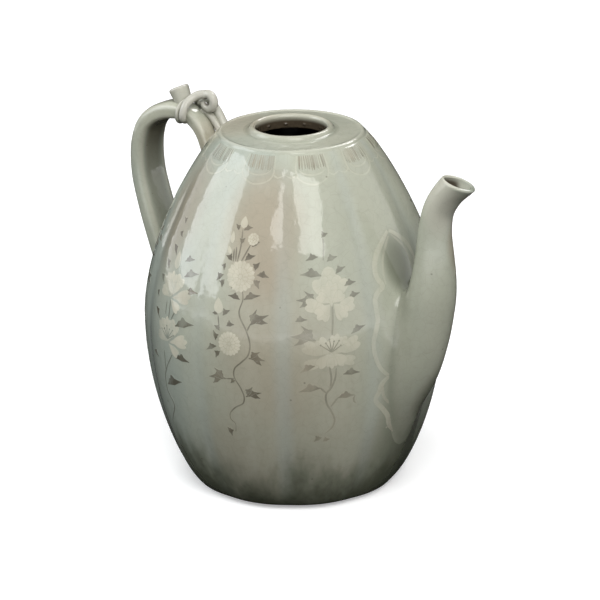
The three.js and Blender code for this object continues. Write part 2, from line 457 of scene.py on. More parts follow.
def nodeGroup(name, sockets):
    # a Geometry Nodes tree and the wires of its named inputs
    group = bpy.data.node_groups.new(name, "GeometryNodeTree")
    group.interface.new_socket("Geometry", in_out="OUTPUT", socket_type="NodeSocketGeometry")
    for key, kind in sockets.items():
        group.interface.new_socket(key, in_out="INPUT", socket_type="NodeSocket" + kind)
    tree = Tree(group)
    given = tree.many("NodeGroupInput")
    return group, tree, [given[key] for key in sockets]


def closeGroup(tree, shape, clay):
    shape = tree.add("GeometryNodeSetShadeSmooth", {}, {"Geometry": shape})
    shape = tree.add("GeometryNodeRealizeInstances", {}, {"Geometry": shape})
    shape = tree.add("GeometryNodeSetMaterial", {}, {"Geometry": shape, "Material": clay})
    tree.add("NodeGroupOutput", {}, {0: shape})


# The turned pieces: Geometry Nodes carry a profile round the axis and press the lobes in

def turningTree():
    group, tree, (profile, columns, lobes, deep, soft, top, clay) = nodeGroup("turned and lobed", {
        "Profile": "Geometry", "Columns": "Int", "Lobes": "Int", "Furrow depth": "Float",
        "Furrow softness": "Float", "Height": "Float", "Glaze": "Material"})
    rows = tree.add("GeometryNodeAttributeDomainSize", {"component": "MESH"}, {"Geometry": profile})
    grid = tree.add("GeometryNodeMeshGrid", {}, {"Vertices X": rows, "Vertices Y": columns})
    index = tree.add("GeometryNodeInputIndex")
    row = (index / columns + 1e-4).math("FLOOR")

    def sampled(kind, field):
        return tree.add("GeometryNodeSampleIndex", {"data_type": kind},
                        {"Geometry": profile, "Value": field, "Index": row})

    def named(name):
        return tree.add("GeometryNodeInputNamedAttribute", {"data_type": "FLOAT"}, {"Name": name})

    place = sampled("FLOAT_VECTOR", tree.add("GeometryNodeInputPosition"))
    radius, _, z = tree.many("ShaderNodeSeparateXYZ", {0: place}).values()
    marks = {name: sampled("FLOAT", named(name)) for name in ("lobed", "inside", "thin")}

    angle = (index - row * columns) / (columns - 1) * (2 * math.pi)
    wave = (lobes * angle / 2).math("COSINE")
    crest = ((wave * wave + soft * soft) ** 0.5 - soft) / ((soft * soft + 1) ** 0.5 - soft)
    level = z / top
    fading = (1 - level.smooth(0.8, 0.985) * 0.85) * (level.smooth(0, 0.2) * 0.65 + 0.35)
    r = radius - marks["lobed"] * deep * fading * (1 - crest)
    moved = tree.add("ShaderNodeCombineXYZ", {},
                     {0: r * angle.math("COSINE"), 1: r * angle.math("SINE"), 2: z})
    shape = tree.add("GeometryNodeSetPosition", {}, {"Geometry": grid, "Position": moved})
    for name, mark in marks.items():
        shape = tree.add("GeometryNodeStoreNamedAttribute", {"data_type": "FLOAT", "domain": "POINT"},
                         {"Geometry": shape, "Name": name, "Value": mark})
    shape = tree.add("GeometryNodeMergeByDistance", {}, {"Geometry": shape, "Distance": 4e-6})
    closeGroup(tree, shape, clay)
    return group


turning = turningTree()


def socketOf(group, name):
    return next(item.identifier for item in group.interface.items_tree
                if item.item_type == "SOCKET" and item.in_out == "INPUT" and item.name == name)


def grown(name, mesh, group, values):
    # runs a node group on a mesh and keeps what it makes as a plain mesh
    seed = placed(name + "_seed", mesh)
    made = seed.modifiers.new("nodes", "NODES")
    made.node_group = group
    for key, value in values.items():
        made[socketOf(group, key)] = value
    result = plainMesh(seed, made)
    bpy.data.objects.remove(seed)
    result.name = name
    faceOut(result)
    return placed(name, result)


def turnedPiece(name, profile, glaze, lobed=0, inside=0, thin=0, columns=melon["columns"], closed=False):
    # profile is (radius, height) along the section, lobed, inside and thin are values for its points
    profile = np.insert(np.array(profile, float), 1, 0, axis=1)
    layers = {"lobed": lobed, "inside": inside, "thin": thin}
    layers = {key: np.broadcast_to(values, len(profile)) for key, values in layers.items()}
    if closed:
        profile = np.append(profile, profile[:1], 0)
        layers = {key: np.append(values, values[0]) for key, values in layers.items()}
    return grown(name, lineMesh(name + "_profile", profile, **layers), turning, {
        "Columns": columns, "Lobes": melon["lobes"], "Furrow depth": melon["furrowDepth"] * mm,
        "Furrow softness": melon["furrowSoftness"], "Height": height * mm, "Glaze": glaze})


# Celadon

tones = {
    "green": (0.362, 0.374, 0.300), "warm": (0.322, 0.280, 0.208), "cool": (0.285, 0.340, 0.318),
    "furrow": (0.345, 0.382, 0.355),
    "pale": (0.50, 0.49, 0.41), "blush": (0.458, 0.443, 0.396), "deep": (0.100, 0.109, 0.074),
    "clay": (0.30, 0.215, 0.145), "dark": (0.060, 0.047, 0.031), "whiteSlip": (0.575, 0.545, 0.435),
    "blackSlip": (0.082, 0.070, 0.050),
}


# soft ovals of tone about points of the wall (mm): x, y, z, reach sideways, reach in height, strength. Warm,
# cool and stained are the glaze's own colour; the ovals by the spout are painted shade and painted light
clouds = {
    "warm": [(31, -62, 182, 30, 66, 0.9), (114, 5, 166, 9, 24, 0.7), (48, -74, 112, 42, 62, 0.35),
             (-66, 0, 196, 15, 20, 0.55), (-32, -62, 184, 26, 62, 0.75), (-34, -12, 217, 30, 20, 0.5)],
    "cool": [(-55, -70, 70, 70, 95, 0.5)],
    # painted shade beside the spout's root and on its lower flank, with some glaze pooled there
    "pooled": [(79, 0, 150, 14, 26, 0.8), (102, 7, 70, 17, 34, 0.6)],
    # painted shade on the body below the spout
    "shadeUnderSpout": [(69, 4, 36, 38, 56, 0.6)],
    # painted light on the spout's neck, where its wall leans out and faces down
    "pale": [(117, -4, 197, 18, 30, 0.85)],
    "stained": [(63, -64, 107, 15, 13, 0.45)],
}
# sizes of the noises and cells in the glaze: how many fit in a metre
grain = {
    "drift": 9, "streaks": 75, "mottle": 240, "footShadeEdge": 34, "fade": 130, "stain": 24, "swell": 26,
    "dimple": 150, "crackle": 190.0, "specks": 62.0,
}


def celadon(name, slip=None, lobed=False, thinTone="pale"):
    material = bpy.data.materials.new(name)
    tree = freshTree(material)
    where = tree.add("ShaderNodeTexCoord", output="Object")
    x, y, z = tree.many("ShaderNodeSeparateXYZ", {0: where}).values()

    def noise(kind, detail=2.0, stretch=(1, 1, 1), rough=0.5):
        moved = tree.add("ShaderNodeVectorMath", {"operation": "MULTIPLY"}, {0: where, 1: stretch})
        return tree.add("ShaderNodeTexNoise", {}, {
            "Vector": moved, "Scale": grain[kind], "Detail": detail, "Roughness": rough})

    def cells(kind, feature="F1"):
        return tree.add("ShaderNodeTexVoronoi", {"feature": feature}, {"Vector": where, "Scale": grain[kind]})

    def mark(attribute):
        return tree.add("ShaderNodeAttribute", {"attribute_name": attribute}, output="Fac")

    def over(under, top, amount):
        pair = [(*tones[tone], 1.0) if isinstance(tone, str) else tone for tone in (under, top)]
        return tree.add("ShaderNodeMix", {"data_type": "RGBA"},
                        {"Factor": amount, 6: pair[0], 7: pair[1]}, output=2)

    def cloud(kind):
        total = 0
        for cx, cy, cz, rx, rz, strength in clouds[kind]:
            dx, dy, dz = (x - cx * mm) / (rx * mm), (y - cy * mm) / (rx * mm), (z - cz * mm) / (rz * mm)
            total = total + (1 - (dx * dx + dy * dy + dz * dz).smooth(0.0, 1.0)) * strength
        return total

    drift, streaks, mottle = noise("drift", 3, (1, 1, 0.45)), noise("streaks", 3,
                                                                    (1, 1, 0.07)), noise("mottle", 3)
    warm = drift.smooth(0.50, 0.72) * 0.5 + mark("warm") + cloud("warm")
    base = over("green", "cool", (1 - drift).smooth(0.50, 0.70) * 0.6 + cloud("cool"))
    base = over(base, "warm", warm.math("MINIMUM", 1.0))
    base = over(base, "pale", streaks.smooth(0.45, 0.75) * 0.16)
    if lobed:
        # the glaze lies bluer where it ran together in the furrows
        crest = (y.math("ARCTAN2", x) * (melon["lobes"] / 2)).math("COSINE").math("ABSOLUTE")
        base = over(base, "furrow", (1 - crest.smooth(0.02, 0.5)) * (drift.smooth(0.35, 0.65) * 0.35 + 0.05))
    # painted shade: darker towards the foot, its edge broken by a noise, with a little random mottle
    footShadeEdge = noise("footShadeEdge", 4, (1, 1, 0.22), 0.6)
    foot = 1 - (z + (footShadeEdge - 0.5) * 0.11).smooth(0.0, 0.053)
    base = over(base, "deep", foot * 0.95 + (1 - mottle).smooth(0.45, 0.75) * 0.07)
    # darker where glaze pooled in creases, mixed with painted shade in creases, on undersides and beside the
    # spout
    base = over(base, "deep", mark("pool") * 0.5 + cloud("pooled"))
    if lobed:
        # painted shade on the body below the spout
        base = over(base, "deep", cloud("shadeUnderSpout"))
    # painted light on the spout's neck
    base = over(base, "pale", cloud("pale"))
    base = over(base, thinTone, mark("thin"))
    if slip:
        fade = noise("fade", 3).smooth(0.25, 0.65) * 0.45 + 0.5
        stained = noise("stain", 2).smooth(0.48, 0.66) * 0.6 + cloud("stained")
        if slip == "blackSlip":
            stained = stained + z.smooth(0.195, 0.206) * 0.4
        stain = over(slip, "warm", stained.math("MINIMUM", 1.0))
        base = over(base, stain, mark("ink") * fade * (0.78 if slip == "whiteSlip" else 1.0))
    base = over(base, "deep", (1 - cells("crackle", "DISTANCE_TO_EDGE").smooth(0.0, 0.035)) * 0.10)
    base = over(base, "dark", (1 - cells("specks").smooth(0.02, 0.05)) * 0.45)
    base = over(base, "clay", mark("clay"))
    # painted shade: the inside, the neck, the spout's bore, the strap's inner face and the curl's middle go
    # dark; the inside glaze is also brown
    base = over(base, "dark", mark("inside"))

    swell = noise("swell", 2) * 0.0008 + noise("dimple", 3, (1, 1, 0.6)) * 0.00048 + mottle * 0.000022
    bump = tree.add("ShaderNodeBump", {}, {"Strength": 0.55, "Distance": 1.0, "Height": swell})
    rough = mark("clay") * 0.6 + mottle * 0.04 + drift * 0.03 + 0.03
    surface = tree.add("ShaderNodeBsdfPrincipled", {}, {
        "IOR": 1.5, "Base Color": base, "Roughness": rough, "Normal": bump})
    tree.add("ShaderNodeOutputMaterial", {}, {0: surface})
    return material


glaze = {
    "body": celadon("celadon body", lobed=True), "disc": celadon("celadon disc"),
    "lip": celadon("celadon lip"), "spout": celadon("celadon spout"), "handle": celadon("celadon handle"),
    "vine": celadon("celadon vine", thinTone="blush"),
    "white": celadon("white slip under glaze", slip="whiteSlip", lobed=True),
    "black": celadon("black slip under glaze", slip="blackSlip", lobed=True),
}
print("glazes mixed")


# Body, disc and mouth ring

lip = {
    "mouthRadius": 21, "rise": 3.6, "dish": 0.72, "ridge": 0.55, "ridgeRadius": 41.2,
    "beads": [(11, 0.6, 1.0), (23, 1.9, 0.8), (37, 0, 0.6)],   # how many go round, from where, how strong
    "beadSize": 0.34, "beadDepth": 6.1, "beadHeight": 0.75,
}


def bodyPiece():
    wall, under = melon["wall"], height - melon["wall"]
    inner = [(r - wall, min(z, under)) for r, z in evenly(bezier(upperCurve, 200), 26)[::-1] if r - wall > 42]
    inner += [(r - wall, z + 3) for r, z in evenly(bezier(lowerCurve, 200), 20)[::-1][1:-1]]
    rim = [(40.9, height - 0.1), (40.4, height - 0.6), (40.2, under)]
    profile = [(0, 0), (20, 0), (36, 0)] + outerLine.tolist() + rim + inner
    profile += [(46, melon["floor"] + 1), (24, melon["floor"] + 0.3), (0, melon["floor"])]
    outside = 3 + len(outerLine)
    lobed = [1] * outside + [0] * (len(profile) - outside)
    # the inside walls are painted dark: a brown glaze, darkened further as painted shade
    inside = [0] * (outside + 2) + [1] * (len(profile) - outside - 2)
    body = turnedPiece("body", profile, glaze["body"], lobed=lobed, inside=inside)
    points = vertexPoints(body.data) / mm
    marks = np.zeros(len(points))
    body.data.attributes["inside"].data.foreach_get("value", marks)
    outer = (marks < 0.5) & (points[:, 2] > 3.2) & (points[:, 2] < height - 0.02)
    points[outer], share = raised(np.arctan2(points[outer, 1], points[outer, 0]), points[outer, 2])
    movePoints(body.data, points)
    # glaze pooled in the fillets, darkened further as painted shade
    pool = np.zeros(len(points))
    pool[outer] = share ** 1.5
    bare = ease(np.hypot(points[:, 0], points[:, 1]), 47, 43)
    paint(body.data, pool=pool, clay=np.where(points[:, 2] < 0.2, bare, 0) * (marks < 0.5))
    return finishPiece(body, None, "body")


bodyPiece()
print("body turned")


def discTop(r):
    # the flat shoulder, dished a little between the mouth and its own rim
    return height + 0.15 + lip["dish"] * (1 - ease(r, 25, 39))


def discPiece():
    under = height - melon["wall"]
    seat = lip["mouthRadius"] + 0.6
    flat = [(r, discTop(r)) for r in np.linspace(seat + 0.6, 38.8, 24)]
    edge = [(39, discTop(39)), (40.1, height + 0.3), (lip["ridgeRadius"], height + lip["ridge"]),
            (42.2, height + 0.32), (42.85, height - 0.16), (43.4, height - 0.86), (44.05, height - 1.72),
            (44.6, height - 2.6)]
    roll = evenly(catmullRom(edge), 44).tolist()
    profile = [(seat, under), (seat, discTop(seat) - 0.3)] + flat + roll + [(43, height - 3.6), (40, under)]
    radius = np.array([p[0] for p in profile])
    thin = np.maximum(0.14 * ease(radius, 44, 42), 0.32 * bell(radius, lip["ridgeRadius"] + 0.3, 1.5))
    # the two points under the disc, inside the pot, are painted dark as shade
    inside = np.zeros(len(profile))
    inside[[0, -1]] = 1
    disc = turnedPiece("shoulder_disc", profile, glaze["disc"], ease(radius, 42.3, 43.6), inside, thin,
                       columns=360, closed=True)
    return finishPiece(disc, None, "shoulder_disc")


def lipPiece():
    r, top, under = lip["mouthRadius"], height + lip["rise"], height - melon["wall"]
    # out from the mouth's radius and up from the lip's top; then out, and up from the disc at a radius
    roll = [(0.5, -7.8), (0.35, -6.2), (0.1, -4.4), (0, -2.6), (0.25, -1.1), (0.95, -0.25), (1.9, 0),
            (2.9, -0.3), (3.65, -1.05), (4.1, -1.85)]
    apron = [(4.9, 26, 0.22), (6.2, 27.2, 0.07), (8, 29, -0.03), (9.5, 30.5, -0.12)]
    section = [(r + x, top + z) for x, z in roll] + [(r + x, discTop(at) + z) for x, at, z in apron]
    line = evenly(catmullRom(section), 84).tolist()
    profile = [(r + 0.5, under)] + line + [(r + 9, height - 0.6), (r + 2, height - 1), (r + 2, under)]
    radius, high = np.array(profile).T
    thin = 0.05 + 0.18 * ease(high, top - 2.4, top - 0.6)
    # painted shade, darker down inside the neck
    inside = ease(high, top - 1.0, top - 4.6) * (radius < r + 0.7)
    ring = turnedPiece("mouth_ring", profile, glaze["lip"], 0, inside, thin, columns=240, closed=True)
    points = vertexPoints(ring.data) / mm
    out = np.hypot(points[:, 0], points[:, 1]) - r
    # beads of glaze hang inside the neck and catch the light
    turn = np.arctan2(points[:, 1], points[:, 0])
    beads = np.clip(sum(size * np.sin(count * turn + start) for count, start, size in lip["beads"]), 0, None)
    beads *= lip["beadSize"] * bell(points[:, 2], top - lip["beadDepth"], lip["beadHeight"]) * (out < 0.9)
    points[:, :2] *= (1 - beads / (out + r))[:, None]
    movePoints(ring.data, points)
    # glaze pooled, with painted shade, where the ring's apron meets the disc
    paint(ring.data, pool=0.55 * bell(out, 4.9, 1.9) * (points[:, 2] > height - 0.5),
          warm=0.4 * bell(out, 1.5, 1.6))
    return finishPiece(ring, None, "mouth_ring")


discPiece()
lipPiece()
print("disc and mouth ring turned")


# Spout and strap

def core():
    # what lies deeper than the middle of the wall: the roots are cut off against it
    half = melon["wall"] / 2
    line = np.vstack([evenly(bezier(lowerCurve, 200), 24), evenly(bezier(upperCurve, 200), 40)[1:]])
    inner = [(max(r - half, 0), z) for r, z in line if z < height - half]
    return turnedPiece("core", [(0, 2)] + inner + [(0, height - half)], None, lobed=1, columns=160)


rootCore = core()


def sweptPoints(sweep, turns):
    # the outside of a luted piece, flared where it meets the body, and how deep in the fillet
    rings, columns, width = len(sweep.line), len(turns), sweep.fillet
    out = sweep.spokes(turns).reshape(-1, 3)
    reach = sweep.reach(np.repeat(np.linspace(0, 1, rings), columns), np.tile(turns, rings))
    start = np.repeat(sweep.line, columns, 0) + out * reach[:, None]

    def depth(p, t):
        return blended(fromBody(p), t, width)[0] + seam["sink"] * ease(t / width, *seam["lutedEdge"])

    t = np.zeros(len(start))
    near = fromBody(start) < width
    t[near] = firstOut(start[near], out[near], np.full(near.sum(), seam["lutedReach"] * width), depth)
    points = start + out * t[:, None]
    share = np.where(near, blended(fromBody(points), t, width)[1], 0)
    return points.reshape(rings, columns, 3), share.reshape(rings, columns)


def spoutPiece():
    form, turns = spoutForm, around(spoutForm["columns"])
    outer, share = sweptPoints(spoutSweep, turns)
    radius = along(form["bore"], np.linspace(0, 1, form["rings"]))
    bore = spoutSweep.line[:, None, :] + spoutSweep.spokes(turns) * radius[:, None, None]
    tilt, lean = math.radians(form["cutTilt"]), math.radians(form["cutLean"])
    up = np.array([math.sin(tilt), math.cos(tilt) * math.sin(lean), math.cos(tilt) * math.cos(lean)])
    level = np.array(form["cutPoint"]) - up * form["rim"]

    def trimmed(lines, shares, rows, crowding=1):
        # each line of the tube up to the slanting cut, its rows even or crowded towards the cut
        high, steps = (lines - level) @ up, np.arange(len(lines))
        made, kept = [], []
        for k in range(lines.shape[1]):
            end = np.argmax(high[:, k] > 0)
            f = high[end - 1, k] / (high[end - 1, k] - high[end, k])
            at = (1 - np.linspace(1, 0, rows) ** crowding) * (end - 1 + f)
            made.append(pointsAt(lines[:, k], steps, at))
            kept.append(np.interp(at, steps, shares[:, k]))
        return np.stack(made, 1), np.stack(kept, 1)

    outside, pool = trimmed(outer, share, form["rings"])
    hollow, _ = trimmed(bore, np.zeros(bore.shape[:2]), form["boreRings"], form["boreCrowding"])
    down = np.clip((level - hollow) @ up, 0, None)
    opening = np.exp(-(down / form["flareDepth"]) ** 1.6)
    spoke = unit(hollow - hollow.mean(1, keepdims=True))
    hollow += spoke * (form["flare"] * opening)[..., None]
    # the bore opens a little off the middle, so that the lip is thick in front and thin behind
    hollow[..., :2] += np.exp(-down / form["shiftDepth"])[..., None] * form["shift"]
    a, b = outside[-1], hollow[-1]
    arc = [(a + b) / 2 + (a - b) / 2 * math.cos(t) + up * form["rim"] * math.sin(t)
           for t in np.linspace(0, math.pi, 13)[1:-1]]
    points = np.concatenate([outside, np.stack(arc), hollow[::-1]])
    spout = gridMesh("spout", points, closedRows=True)
    first, last = len(outside), len(outside) + len(arc)
    inside, pools = np.zeros((2, *points.shape[:2]))
    # the wall towards the handle falls away from the light at once, the other side later
    hidden = ease(-spoke[::-1, :, 0], -0.35, 0.65)
    inside[last:] = 0.95 * ease(down[::-1], 2.8 - 2.8 * hidden, 8.5 - 5.3 * hidden)
    # the fillet's pooled glaze with painted shade, and painted shade on the lit rim of the tip
    pools[:first] = pool ** 1.5
    pools[first:last] = 0.5
    paint(spout.data, inside=inside.ravel(), pool=pools.ravel())
    cutAway(spout, rootCore)
    return finishPiece(spout, glaze["spout"], "spout")


spoutPiece()
print("spout drawn up")


# Vine strands; the strap needs them too, for the glaze that gathers and the painted shade beside them

curlMiddle, curlRadius = (-67.6, 3.2, 220.2), 4.4
curlTurns = (120, 90, 60, 30, 0, -30, -60, -90, -120, -150, -172)
curl = [(curlMiddle[0] + curlRadius * math.cos(math.radians(d)), curlMiddle[1],
         curlMiddle[2] + curlRadius * math.sin(math.radians(d))) for d in curlTurns]
strands = {
    "vine_tie": {
        "points": [(-79.6, 3.6, 219.4), (-79.4, 7.6, 217.6), (-79.6, 10.2, 213.6), (-80.4, 9.6, 210),
                   (-81.2, 6, 208.2), (-81, 0, 207.8), (-79.2, -5.4, 208.6), (-77.7, -8.9, 211.2),
                   (-77, -8.9, 214.8), (-76.8, -6.6, 218.8), (-76, -2.8, 221.4), (-73.6, 0.6, 223.4)] + curl,
        "radius": [2.0, 2.5, 2.5, 2.4, 2.4, 2.4, 2.5, 2.65, 2.75, 2.6, 2.5, 2.2],
    },
    "vine_tie_thin": {
        "points": [(-82.6, 2.4, 218.9), (-82.4, 7.4, 217.4), (-82.8, 10, 213), (-84, 9.6, 208.8),
                   (-85, 5.4, 206.2), (-84.8, 0, 205.9), (-83.4, -5.8, 206.9), (-82, -9.2, 210.2),
                   (-81.4, -9.2, 214.6), (-81.2, -6.4, 218.2), (-81.4, -1.4, 219.7)],
        "radius": [1.1, 1.25, 1.25, 1.25, 1.25, 1.15],
    },
    "tendril_near": {
        "points": [(-74.6, 3, 213), (-70.4, 4.6, 212.4), (-66.8, 5.4, 209.8), (-63.2, 5.6, 205.8),
                   (-58.4, 5, 199)],
        "radius": [2.0, 2.4, 2.5, 2.3],
    },
    "tendril_far": {
        "points": [(-78.6, 5.4, 216), (-74.4, 8, 218.2), (-69.8, 8.8, 216.8), (-65.2, 8.8, 212.4),
                   (-60.9, 8.4, 207), (-56, 8, 199)],
        "radius": [2.0, 2.6, 2.8, 2.8, 2.7],
    },
}


def strandTree():
    group, tree, (path, sides, uneven, seed, clay) = nodeGroup("strand along a path", {
        "Path": "Geometry", "Sides": "Int", "Unevenness": "Float", "Seed": "Float", "Glaze": "Material"})
    line = tree.add("GeometryNodeMeshToCurve", {}, {"Mesh": path})
    thick = tree.add("GeometryNodeInputNamedAttribute", {"data_type": "FLOAT"}, {"Name": "thickness"})
    wobble = tree.add("ShaderNodeTexNoise", {"noise_dimensions": "4D"}, {
        "Vector": tree.add("GeometryNodeInputPosition"), "W": seed, "Scale": 160.0, "Detail": 1.0})
    scale = thick * (1 + (wobble - 0.5) * uneven)
    ring = tree.add("GeometryNodeCurvePrimitiveCircle", {"mode": "RADIUS"},
                    {"Resolution": sides, "Radius": 1.0})
    made = tree.add("GeometryNodeCurveToMesh", {}, {
        "Curve": line, "Profile Curve": ring, "Scale": scale, "Fill Caps": True})
    closeGroup(tree, made, clay)
    return group


strandGroup = strandTree()


def strandLine(facts, count=150):
    line = evenly(catmullRom(facts["points"]), count)
    return line, along(facts["radius"], np.linspace(0, 1, count))


def nearStrands(points, skip=None):
    # distance to the nearest strand but one
    best = np.full(len(points), 99.0)
    for name, facts in strands.items():
        if name == skip:
            continue
        line, radius = strandLine(facts, 70)
        for middle, r in zip(line, radius):
            best = np.minimum(best, np.linalg.norm(points - middle, axis=1) - r)
    return best


def gatheredAndShaded(gap, reach=0.9):
    # how much glaze gathers this near another piece, and how much shade is painted there
    return np.exp(-np.clip(gap, 0, None) / reach)


def rounded(line, radius):
    # a strand with its first end rounded off
    t = np.linspace(0.12, math.pi / 2, 7)
    r, length = radius[0], lengthsAlong(line)
    tip, keep = pointsAt(line, length, r * (1 - np.cos(t))), length > r
    return np.vstack([tip, line[keep]]), np.concatenate([r * np.sin(t), radius[keep]])


def strandPiece(name, facts, seed):
    line, radius = strandLine(facts)
    for _ in ("start", "end"):
        line, radius = (values[::-1] for values in rounded(line, radius))
    mesh = lineMesh(name + "_line", line, thickness=radius * mm)
    thing = grown(name, mesh, strandGroup,
                  {"Sides": 28, "Unevenness": 0.22, "Seed": seed, "Glaze": glaze["vine"]})
    points = vertexPoints(thing.data) / mm
    gap = np.minimum(strapSweep.distance(points), nearStrands(points, skip=name))
    gap = np.minimum(gap, np.abs(fromBody(points)))
    pool = 0.85 * gatheredAndShaded(gap)
    # painted shade on the tie's lower part, under the strap
    if name.startswith("vine_tie"):
        pool = np.maximum(pool, 0.9 * ease(points[:, 2], 213, 207))
    # the curl's middle is painted dark, as the shade of a hole
    fromCurl = np.hypot(points[:, 0] - curlMiddle[0], points[:, 2] - curlMiddle[2])
    paint(thing.data, pool=pool, thin=0.35 + 0.35 * ease(gap, 0.8, 3.2), warm=np.full(len(points), 0.22),
          inside=0.85 * ease(fromCurl, 3.1, 1.9) * (name == "vine_tie"))
    return finishPiece(thing, None, name)


def strapPiece():
    form, columns = strapForm, strapForm["columns"]
    k = 2 * math.pi * (np.arange(columns) + 0.5) / columns
    c, s = np.cos(k), np.sin(k)
    side = np.sign(c) * np.abs(c) ** form["side"] * 1.3
    out = np.sign(s) * np.abs(s) ** np.where(s > 0, form["inner"], form["outer"]) * 0.6
    turns = np.arctan2(out, side)
    points, share = sweptPoints(strapSweep, turns)
    strap = gridMesh("handle_strap", points)
    flat, free = points.reshape(-1, 3), 1 - share.ravel()
    # glaze pooled by the fillet and beside the strands, with painted shade
    pool = np.maximum(share.ravel() ** 1.5, gatheredAndShaded(nearStrands(flat)))
    corner = np.tile(bell(np.abs(np.cos(turns)), 0.90, 0.05), len(points))
    # painted shade on the inner face, which turns towards the body away from the light, darker higher up
    under = np.tile(ease(np.sin(turns), 0.22, 0.8), len(points)) * free
    layers = {
        "pool": np.maximum(pool, 0.9 * under), "thin": corner * free * 0.45, "warm": 0.12 * free,
        "inside": under * (0.25 + 0.5 * ease(flat[:, 2], 150, 205)),
    }
    paint(strap.data, **{name: np.append(values, [0, 0]) for name, values in layers.items()})
    cutAway(strap, rootCore)
    return finishPiece(strap, glaze["handle"], "handle_strap")


strapPiece()
for seed, (name, facts) in enumerate(strands.items()):
    strandPiece(name, facts, float(seed))


stubForm = {
    "path": [(-84.6, 1, 213.4), (-85.6, 1, 217.6), (-87.2, 1, 221.4), (-88.9, 1, 224.8)],
    "radius": [5.7, 5.3, 5.5, 5.8], "columns": 48, "rings": 26, "rim": 1.3, "dish": 0.8,
}


def stubPiece():
    form = stubForm
    line = evenly(catmullRom(form["path"]), form["rings"])
    u = np.linspace(0, 1, form["rings"])
    radius = along(form["radius"], u)
    tangent = unit(np.gradient(line, axis=0))
    side = np.array([0, 1.0, 0])
    cross = np.cross(tangent, side)
    turns = around(form["columns"])
    # pressed between finger and thumb
    pinch = 1 + 0.07 * np.cos(2 * turns + 0.8) + 0.05 * np.cos(3 * turns)

    def ring(i, up, r, f):
        spokes = np.cos(turns)[:, None] * side + np.sin(turns)[:, None] * cross[i]
        return line[i] + tangent[i] * up + spokes * (r * (1 + (pinch - 1) * f))[:, None]

    lastR, rim = radius[-1], form["rim"]
    rows = [ring(i, 0, radius[i], u[i]) for i in range(len(line))]
    rows += [ring(-1, rim * math.sin(t), lastR - rim + rim * math.cos(t), 1)
             for t in np.linspace(0, math.pi / 2, 6)[1:]]
    rows += [ring(-1, rim - form["dish"] * (1 - f ** 2), (lastR - rim) * f, 1) for f in (0.8, 0.6, 0.4, 0.2,
                                                                                         0.05)]
    stub = gridMesh("stalk_stub", np.stack(rows))
    points = vertexPoints(stub.data) / mm
    gap = np.minimum(strapSweep.distance(points), nearStrands(points))
    high = (points - line[-1]) @ tangent[-1]
    # glaze pooled, with painted shade, where the stub meets the strap and strands
    paint(stub.data, pool=gatheredAndShaded(gap, 0.7), thin=0.5 * bell(high, rim * 0.7, 0.9) + 0.35,
          warm=np.full(len(points), 0.2))
    return finishPiece(stub, glaze["vine"], "stalk_stub")


stubPiece()
bpy.data.objects.remove(rootCore)
print("handle and vine in place")


# Inlay: white and black slips let into the clay, as thin patches that follow the wall.
# A spray is drawn in millimetres: across its lobe, and up from the foot.

inlay = {
    "rim": 0.16, "sunk": 0.3, "grain": 1.9, "stagger": 0.004, "layers": 4,
    "lift": {"stem": 0.06, "leaf": 0.08, "ground": 0.07, "petal": 0.11, "front": 0.14, "line": 0.18},
}
patches = {"white": [], "black": []}


def lay(slip, lobe, outline, level, strength=1.0):
    # patches that overlap lie at slightly different heights
    lift = inlay["lift"][level] + inlay["stagger"] * (len(patches[slip]) % inlay["layers"])
    patches[slip].append((lobe, np.array(outline, float), lift, strength))


def stroke(points, width, ends=(0.5, 0.35)):
    # a cut line: an outline round a smooth path, thinner at its ends
    line = catmullRom(points, 8)
    length = np.linalg.norm(np.diff(line, axis=0), axis=1).sum()
    line = evenly(line, max(4, int(length / 1.3)))
    step = np.gradient(line, axis=0)
    side = unit(np.column_stack([-step[:, 1], step[:, 0]]))
    half = width / 2 * np.interp(np.linspace(0, 1, len(line)), [0, 0.15, 0.8, 1], [ends[0], 1, 0.9, ends[1]])
    return np.vstack([line + side * half[:, None], (line - side * half[:, None])[::-1]])


def onBase(base, tip, edge, fullness):
    # an edge given as shares of the way to the tip and to the side, its back turned up
    base, tip = np.array(base, float), np.array(tip, float)
    ahead = tip - base
    side = np.array([-ahead[1], ahead[0]]) * (1 if ahead[0] >= 0 else -1) * fullness
    return [base + u * ahead + v * side for u, v in edge]


leafEdge = [(0, 0.04), (0.10, 0.10), (0.22, 0.29), (0.33, 0.30), (0.42, 0.47), (0.52, 0.43), (0.60, 0.26),
            (0.76, 0.14), (1, 0.01), (0.99, -0.02), (0.72, -0.05), (0.48, -0.12), (0.22, -0.06), (0, -0.03)]


def leaf(base, tip):
    length = math.dist(base, tip)
    return onBase(base, tip, leafEdge, min(max(6.5 / length, 0.72), 1.35))


def cluster(base, tip):
    # three leaflets from one stalk
    base, tip = np.array(base, float), np.array(tip, float)
    ahead = tip - base
    up = np.array([-ahead[1], ahead[0]]) * (1 if ahead[0] >= 0 else -1)
    return [leaf(base, tip), leaf(base + ahead * 0.12, base + ahead * 0.62 + up * 0.50),
            leaf(base + ahead * 0.30 - up * 0.05, base + ahead * 0.80 - up * 0.32)]


def drop(wide, point, width, count=9):
    # a teardrop from its wide end to its point
    wide, point = np.array(wide, float), np.array(point, float)
    t = np.linspace(0, 1, count)
    ahead = point - wide
    half = width / 2 * np.sin(math.pi * t ** 0.7) ** 0.8
    middle, away = wide + np.outer(t, ahead), np.outer(half, unit(np.array([-ahead[1], ahead[0]])))
    return np.vstack([middle + away, (middle - away)[-2:0:-1]])


def oval(middle, across, up, count=28):
    t = around(count)
    return np.column_stack([middle[0] + across * np.cos(t), middle[1] + up * np.sin(t)])


